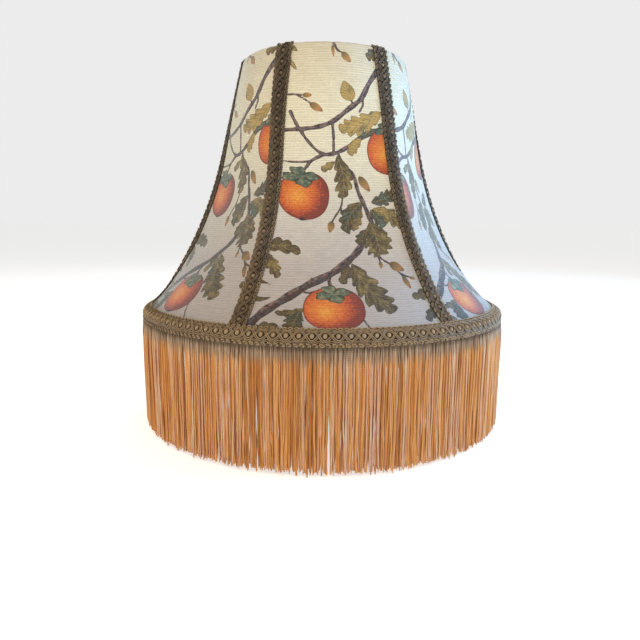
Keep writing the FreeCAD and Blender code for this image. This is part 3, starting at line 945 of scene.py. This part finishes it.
def bindings(surface):
    azimuth = np.arange(540) * 360 / 540
    for name, ring in (("top_ring_binding", TOP), ("bottom_ring_binding", BOTTOM)):
        wound_tape(f"wound_{name}", around(ring[0], azimuth, ring[1]), around(1, azimuth, 0),
                   surface, name, True)
    run = np.linspace(BOUND_R, RIB_RUN - BOUND_R, 220)
    line = Line(RIB)
    for number, azimuth in enumerate(RIB_AZIMUTHS, 1):
        centres = line.lay(run, 0.0, azimuth)
        outward = unit(line.lay(run, 1.0, azimuth) - centres)
        wound_tape(f"wound_rib_binding_{number}", centres, outward, surface,
                   f"rib_binding_{number}", False)


# ---- braid ----
PITCH = 10.0                    # from bead to bead
HALF_BRAID = 8.0                # half the width of the gimp, which its cords are laid out for
CORD_R = 0.40
PICOT_R = 0.58                  # of the cord in the loops along the edges
BACKING = 0.3
BACKING_SHARE = 0.93            # of the gimp's width that the backing takes up
CROSSING = 3.65                 # how far the crossing cords swing to each side
EDGE_AT = 4.50                  # from the middle to the wavy cords at each side
LOOPS_AT = 6.6                  # from the middle to the edge loops
LOOP_LONG = 1.55                # half the length and half the width of an edge loop
LOOP_WIDE = 0.95
BEAD_LONG = 1.85                # half the length, width and height of a bead
BEAD_WIDE = 2.05
BEAD_HIGH = 1.35
# How far each rib's braid, glued by hand, has strayed to the right of its rib at the top.
BRAID_WANDERS = [0.8, -1.2, 0.9, -0.8, 1.1, -3.8]


def strand_height(level):
    return BACKING + CORD_R * 0.8 + level


def laid_cords(strip, along, across, height, *settings):
    """Tubes at places on the flat braid, with their upper sides away from the cloth."""
    paths = strip(along, across, height)
    above = strip(along, across, height + 0.5)
    return tubes(paths, unit(above - paths), *settings)


def braid(strip, length, half_width, painted_light_shift):
    """Cords, edge loops and beads of a length of gimp. strip turns (along, across, height) in
    millimetres on the flat braid into points on the shade."""
    count = round(length / PITCH)
    pitch = length / count
    stretch = half_width / HALF_BRAID
    along = np.linspace(0, length, count * 16 + 1)
    phase = along / pitch * math.pi
    rows = []
    for sign in (1, -1):
        middle = sign * CROSSING * np.sin(phase) * stretch
        slope = np.gradient(middle, along)
        level = 0.6 + 0.42 * sign * np.cos(phase)
        for offset, tone in ((-0.62, 1.10), (0.62, 1.0)):
            shift = offset / np.sqrt(1 + slope ** 2)
            rows.append((along - shift * slope, middle + shift, level, tone))
    for sign in (1, -1):
        for offset, tone in ((0.0, 0.85), (1.15, 0.7)):
            across = sign * (EDGE_AT - 1.0 * np.cos(2 * phase) + offset) * stretch
            rows.append((along, across, 0.05 + 0.25 * np.cos(2 * phase), tone))
    along, across, level, tone = (np.array(column) for column in zip(*rows))
    along = np.clip(along, 0, length)
    across = across + 0.10 * np.sin(along * 0.9 + np.arange(len(rows))[:, None] * 2.1)
    tone = tone + rng.normal(0, 0.06, len(rows)) + painted_light_shift
    parts = [laid_cords(strip, along, across, strand_height(level), CORD_R, 8, tone, False, 2.2)]

    loops = count * 2
    centre, turn = grid((np.arange(loops) + 0.5) * length / loops, np.arange(12) * 30.0)
    for sign in (1, -1):
        lean = 0.7 * sign * sin(turn)
        along = np.clip(centre + LOOP_LONG * cos(turn) + lean, 0, length)
        across = sign * (LOOPS_AT + LOOP_WIDE * sin(turn)) * stretch
        height = strand_height(0.35 + 0.45 * cos(turn))
        tone = 1.15 + rng.normal(0, 0.14, loops) + painted_light_shift
        parts.append(laid_cords(strip, along, across, height, PICOT_R, 6, tone, True, 1.8))
    parts.append(beads(strip, (np.arange(count) + 0.5) * pitch, stretch, painted_light_shift))
    return parts


def beads(strip, centre, stretch, painted_light_shift):
    """Satin-wrapped oval beads between the crossings."""
    rows, columns = 8, 12
    tilt, turn = grid(np.linspace(-90, 90, rows), np.arange(columns) * 360 / columns)
    round_x = BEAD_LONG * cos(tilt) * cos(turn)
    round_y = BEAD_WIDE * cos(tilt) * sin(turn) * stretch
    skew = rng.normal(12, 7, len(centre))[:, None, None]
    x = centre[:, None, None] + round_x * cos(skew) - round_y * sin(skew)
    y = round_x * sin(skew) + round_y * cos(skew)
    points = strip(x, y, BACKING + 0.6 + BEAD_HIGH * sin(tilt) + 0 * x)
    starts = (np.arange(len(centre)) * rows * columns)[:, None]
    cap = np.arange(columns)
    faces = [(grid_faces(rows, columns, True) + starts[..., None]).reshape(-1, 4),
             cap[::-1] + starts, cap + (rows - 1) * columns + starts]
    tone = 1.15 + rng.normal(0, 0.08, len(centre)) + painted_light_shift
    # painted shade: each bead darkens towards its base on the backing
    tone = tone[:, None, None] - 1.1 * (1 - sin(tilt))
    return points.reshape(-1, 3), faces, np.stack([x * 1.6, 0 * x, tone], axis=-1).reshape(-1, 3)


def backing_part(strip, length, half_width, steps):
    """The woven strip that the cords are stitched to, closed, with yarn for its tone."""
    along, across = grid(np.linspace(0, length, steps),
                         np.linspace(-1, 1, 9) * BACKING_SHARE * half_width)
    points = [strip(along, across, height + 0 * along).reshape(-1, 3) for height in (BACKING, 0.05)]
    # The backing is a real strip; its dark tone is painted shade in the gaps between the cords.
    yarn = np.stack([along, across * 0.4, 0 * along - 0.35], axis=-1).reshape(-1, 3)
    return (np.concatenate(points), slab_faces(*along.shape, flip=True),
            np.concatenate([yarn, yarn]))


def gimp_piece(name, node, surface, strip, length, half_width, steps, painted_light_shift, flip=False):
    """A length of gimp: its backing, cords, loops and beads."""
    points, faces, yarn = joined([backing_part(strip, length, half_width, steps),
                                  *braid(strip, length, half_width, painted_light_shift)])
    faces = [face[:, ::-1] for face in faces] if flip else faces
    make(name, points, faces, surface, [node], {"yarn": yarn})


def rib_braids(surface):
    """Gimp up each rib, over the top ring and a little way down inside. Its bridge over the
    crease between two panels makes the crease round, and it lies on the cloth at its edges."""
    stations = RIB + wrapped(TOP, NECK_ANGLE, NECK_ANGLE + 180, 12)[1:] + below_top(7.0, 4)[1:]
    line = Line(stations, COVER_OUT + 1.0)
    start = HEM_RISE - 0.5
    over_top = line.run[len(RIB) - 1]
    for number, (azimuth, wander) in enumerate(zip(RIB_AZIMUTHS, BRAID_WANDERS), 1):
        def strip(along, across, height, azimuth=azimuth, wander=wander):
            run = start + along
            across = across + wander * smooth_step((run - 90) / 130)
            tape = 0.8 * smooth_step((run - over_top - 7) / 5)
            flat = (1 - roundness(np.interp(run, line.run, line.height), 0)) / (1 - cos(HALF_AZ))
            out = np.abs(across)
            crease = math.tan(math.radians(HALF_AZ)) * out
            bridge = flat * crease * (1 - np.minimum(out / HALF_BRAID, 1)) ** 2
            turned = np.degrees(across / line.radius_at(run, COVER_OUT))
            return line.lay(run, COVER_OUT + tape + bridge + height, azimuth + turned)

        # painted shade: -0.42 tones the ribs' gimp darker than the same gimp on the hem
        gimp_piece(f"rib_braid_{number}", f"rib_gimp_{number}", surface, strip,
                   line.run[-1] - start, HALF_BRAID, 120, -0.42)


def hem_braids(surface):
    """Gimp round the hem, in six lengths that meet at the ribs."""
    line = Line(hem_stations(HEM_RISE), HEADER_OUT + 1.0)
    half_width = line.run[-1] / 2
    radius = BOTTOM_RADIUS + HEADER_OUT + 1.0
    for number, middle in enumerate(PANEL_AZIMUTHS, 1):
        def strip(along, across, height, middle=middle):
            run = half_width - across
            depth = HEADER_OUT - 0.8 * smooth_step((run - half_width * 1.45) / 3) + height
            return line.lay(run, depth, middle - HALF_AZ + np.degrees(along / radius))

        # painted light: 0.10 tones the hem's gimp lighter than the same gimp on the ribs
        gimp_piece(f"hem_braid_{number}", "hem_gimp", surface, strip,
                   math.radians(STEP_AZ) * radius, half_width, 80, 0.10, flip=True)


# ---- fringe ----
STITCH = 3.3                    # two strands of each layer leave the head at every stitch
STRAND_R = 0.66
LAYERS = (181.3, 180.2, 179.1, 178.0)
TUCK = 2.0                      # how far a strand starts above the hem's lower edge
LAYER_SHIFT = 1.1               # from one layer's stitches to the next layer's, along the hem
SWAYS = ((1.0, 0.55), (2.3, 0.28), (5.0, 0.10))     # waves down a strand and their size


def strand_paths(middle, layer, layer_radius, down):
    """Paths of one layer's strands under one panel, at shares of their length down."""
    span = math.radians(STEP_AZ) * layer_radius
    stitches = round(span / STITCH)
    strand = np.arange(stitches * 2)
    home = (strand + 0.5) * span / len(strand) + layer * LAYER_SHIFT
    knot = (np.floor(strand / 2) + 0.5) * span / stitches + layer * LAYER_SHIFT
    knot = knot * 0.45 + home * 0.55 + rng.normal(0, 0.3, len(strand))
    swing = rng.normal(0, 0.9, len(strand))
    spread = home + rng.normal(0, 0.40, len(strand))
    leave = smooth_step(down / rng.uniform(0.10, 0.30, len(strand))[:, None])
    place = knot[:, None] * (1 - leave) + spread[:, None] * leave + swing[:, None] * down ** 1.3
    for waves, size in SWAYS:
        phase = rng.uniform(0, 2 * math.pi, len(strand))[:, None]
        place = place + size * np.sin(down * waves * 2 * math.pi + phase) * down
    ease = smooth_step(down / 0.15)
    bulge = rng.normal(0, 0.35, len(strand))[:, None]
    ripple = 0.5 * np.sin(down * 3 + rng.uniform(0, 6, len(strand))[:, None])
    radius = layer_radius + bulge * ease + ripple - 0.6 * (1 - ease)
    length = (FRINGE_LENGTH + TUCK + rng.normal(0, 1.3, len(strand))
              - 2.4 * rng.random(len(strand)) ** 4)
    height = BOTTOM_Z - HEM_DROP + TUCK - down * length[:, None]
    return around(radius, middle - HALF_AZ + np.degrees(place / layer_radius), height)


def fringe(surface):
    """Loose strands in layers that leave the head in pairs, cross a little and hang."""
    down = np.linspace(0, 1, 22) ** 1.15
    for number, middle in enumerate(PANEL_AZIMUTHS, 1):
        paths = np.concatenate([strand_paths(middle, layer, radius, down)
                                for layer, radius in enumerate(LAYERS)])
        outward = unit(paths * np.array([1, 1, 0]))
        girth = STRAND_R * (1 + rng.normal(0, 0.10, len(paths)))[:, None] * np.ones(len(down))
        girth[:, -2:] *= (1.08, 0.75)
        points, faces, yarn = tubes(paths, outward, girth, 5, rng.random(len(paths)))
        make(f"fringe_{number}", points, faces, surface, ["fringe_skirt"],
             {"yarn": yarn})


def fringe_head(surface, yarn_material):
    """The woven head behind the braid, and the row of chain loops along its lower edge."""
    round_tape("fringe_head_band", hem_stations(HEADER_RISE), COVER_OUT, HEADER_OUT, surface,
               "fringe_header", 0.05, False)
    azimuth, turn = grid(np.arange(600) * 360 / 600, np.arange(10) * 36.0)
    parts = []
    for row, (below, lean) in enumerate(((3.9, 0.3), (5.6, -0.3))):
        angle = azimuth + 0.36 * cos(turn) + lean * 0.5 * sin(turn) + row * 0.3
        paths = around(BOTTOM_RADIUS + HEADER_OUT + 0.35 + 0.35 * cos(turn), angle,
                       BOTTOM_Z - below + 1.05 * sin(turn))
        outward = unit(paths * np.array([1, 1, 0]))
        tone = 0.45 + rng.normal(0, 0.15, len(paths))
        parts.append(tubes(paths, outward, 0.36, 5, tone, closed=True))
    points, faces, yarn = joined(parts)
    make("fringe_head_chain", points, faces, yarn_material, ["fringe_header"],
         {"yarn": yarn})


# ---- inside: arm sleeves ----
def arm_path(bends):
    """Points up a spider arm, as (radius, height), and their length from the axis."""
    rise_angle = math.degrees(math.atan2(TOP_Z, TOP[0] - ARM_FLAT))
    flat_end = ARM_FLAT - ARM_BEND * math.tan(math.radians(rise_angle / 2))
    bend = [(flat_end + ARM_BEND * sin(a), ARM_BEND * (1 - cos(a)))
            for a in np.linspace(0, rise_angle, bends)]
    points = np.array([(0.0, 0.0), *bend, (TOP[0], TOP_Z)])
    return points.T, length_along(points)


def arm_sleeves(surface):
    """A gathered cloth sleeve on each arm where it crosses the lining."""
    (radii, heights), length = arm_path(8)
    tape_in = TOP[0] - TAPE_IN
    share = np.linspace(0, 1, 20)
    start, end = np.interp([tape_in - 9.0, tape_in + 0.3], radii, length)
    along = start + (end - start) * share
    for number, azimuth in enumerate(ARM_AZIMUTHS, 1):
        paths = around(np.interp(along, length, radii), azimuth, np.interp(along, length, heights))
        girth = ARM_R + 0.42 + 0.16 * np.sin(share * 17 + number) ** 2 + 0.25 * share ** 6
        girth[0] = ARM_R + 0.08
        outward = np.array([0.0, 0.0, 1.0]) + 0 * paths
        points, faces, yarn = tubes(paths[None], outward[None], girth, 16, 0.5)
        make(f"arm_sleeve_{number}", points, faces, surface,
             [f"arm_neatener_{number}"], cloth_place(yarn[:, 1] * 3, yarn[:, 0]))


# ---- build it ----
gimp = yarn_surface("gimp_braid", (0.010, 0.005, 0.002), (0.55, 0.385, 0.20), 1.3, 0.34)
head_yarn = yarn_surface("fringe_head_yarn", (0.07, 0.042, 0.022), (0.44, 0.31, 0.19), 1.3, 0.5)
head_cloth = woven_surface("fringe_head", (0.08, 0.055, 0.035), (0.24, 0.18, 0.12), 0.8)
tape_cloth = woven_surface("edge_tape", (0.46, 0.40, 0.30), (0.70, 0.64, 0.52), 0.6)
wound_cloth = woven_surface("binding_tape", (0.52, 0.48, 0.40), (0.76, 0.72, 0.62), 0.6)
enamel = metal_surface("frame_wire", (0.72, 0.70, 0.64), (0.50, 0.47, 0.41), 0.0, 0.4)
brass = metal_surface("spider_brass", (0.70, 0.50, 0.22), (0.48, 0.33, 0.15), 1.0, 0.32)

panels = cover_panels(cover_surface())
linings = lining_panels(lining_surface())
bindings(wound_cloth)
rib_braids(gimp)
hem_braids(gimp)
fringe(fringe_surface())
fringe_head(head_cloth, head_yarn)
round_tape("hem_tape_inside", INSIDE_RING + facing_in(up_flare(TAPE_REACH, 6)), LINING_IN,
           TAPE_IN, tape_cloth, "inner_hem_tape", 0.12, True)
round_tape("top_tape_inside", wrapped(TOP, 90, NECK_ANGLE + 180, 8)
           + below_top(TAPE_REACH, 5)[1:], LINING_IN, TAPE_IN, tape_cloth,
           "inner_top_tape", 0.10, False)
arm_sleeves(tape_cloth)
for name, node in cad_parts.items():
    if name.endswith("ring") or name.startswith("rib_") and name[4:].isdigit():
        node.material_slots[0].material = enamel
    if name.startswith("spider"):
        node.material_slots[0].material = brass

for number, (panel, lining) in enumerate(zip(panels, linings), 1):
    wires = [f"rib_{(number - 2) % SIDES + 1}", f"rib_{number}", "top_ring", "bottom_ring"]

# ---- floor, light and camera ----
floor_z = (BOTTOM_Z - HEM_DROP - FRINGE_LENGTH - 4.0) * MM
bpy.ops.mesh.primitive_plane_add(size=60, location=(0, 0, floor_z))
floor = bpy.context.object
floor.name = "floor"
paper = Surface("paper", Roughness=0.9, Specular_IOR_Level=0.2,
                Emission_Color=(0.96, 0.98, 1.0, 1.0), Emission_Strength=0.58)
mottle = paper.noise(paper.object_mm(), 0.004, 3.0)
floor.data.materials.append(paper.finish(paper.mix(mottle, (0.84, 0.84, 0.84),
                                                   (0.90, 0.90, 0.90))))

# The sky lights the shade, darker and warmer from the left, but the camera sees it plain.
world = bpy.data.worlds.new("studio")
bpy.context.scene.world = world
world.use_nodes = True
sky = Nodes(world.node_tree)
facing = sky.split(sky.node("TexCoord")[GENERATED_OUTPUT])[0]
warmth = sky.ramp(sky.scaled(facing, -1.0, 1.0), (0.0, (0.20, 0.13, 0.07)),
                  (0.4, (0.80, 0.72, 0.62)), (0.65, (1.0, 0.99, 0.96)), (1.0, (0.95, 1.0, 1.0)))
light = sky.node("Background", warmth, 0.40)[0]
seen = sky.node("Background", (1.0, 1.0, 1.0), 0.84)[0]
camera_ray = sky.node("LightPath")[0]
sky.feed(world.node_tree.nodes["World Output"].inputs["Surface"],
         sky.node("MixShader", camera_ray, light, seen)[0])


LIT_HEIGHT = -0.14              # of the middle of the shade, which the lamps look at, in metres


def lamp(name, azimuth, elevation, distance, size, power, colour):
    """A square soft light that looks at the middle of the shade."""
    data = bpy.data.lights.new(name, "AREA")
    data.shape = "SQUARE"
    data.size = size
    data.energy = power
    data.color = colour
    light = bpy.data.objects.new(name, data)
    bpy.context.scene.collection.objects.link(light)
    offset = Vector(around(distance * cos(elevation), azimuth, distance * sin(elevation)))
    light.location = Vector((0, 0, LIT_HEIGHT)) + offset
    light.rotation_mode = "QUATERNION"
    light.rotation_quaternion = (-offset).to_track_quat("-Z", "Y")


lamp("window", 92, 5, 1.5, 1.2, 36.0, (0.26, 0.58, 1.0))
lamp("room", -22, 56, 1.5, 1.2, 13.5, (1.0, 0.79, 0.55))
lamp("behind", 190, 50, 1.6, 1.0, 6.0, (1.0, 0.93, 0.82))

# The camera's place is in metres, from the shade's axis and from the height of its spider.
CAMERA_AZIMUTH = -7.1
CAMERA_DISTANCE = 0.6008
CAMERA_HEIGHT = -0.130
CAMERA_DOWN = 9.7
CAMERA_YAW = -0.20
CAMERA_ROLL = 0.45
CAMERA_LENS = 32.18
CAMERA_SENSOR = 36.0
data = bpy.data.cameras.new("camera")
data.lens = CAMERA_LENS
data.sensor_width = CAMERA_SENSOR
camera = bpy.data.objects.new("camera", data)
bpy.context.scene.collection.objects.link(camera)
bpy.context.scene.camera = camera
heading = CAMERA_YAW - CAMERA_AZIMUTH
forward = Vector((sin(heading) * cos(CAMERA_DOWN), cos(heading) * cos(CAMERA_DOWN),
                  -sin(CAMERA_DOWN)))
right = Vector((cos(heading), -sin(heading), 0.0))
upward = right.cross(forward)
tilted_right = right * cos(CAMERA_ROLL) + upward * sin(CAMERA_ROLL)
tilted_up = upward * cos(CAMERA_ROLL) - right * sin(CAMERA_ROLL)
turn = Matrix((tilted_right, tilted_up, -forward)).transposed()
place = Vector(around(CAMERA_DISTANCE, CAMERA_AZIMUTH, CAMERA_HEIGHT))
camera.matrix_world = Matrix.Translation(place) @ turn.to_4x4()
bpy.context.scene.view_settings.view_transform = "Standard"
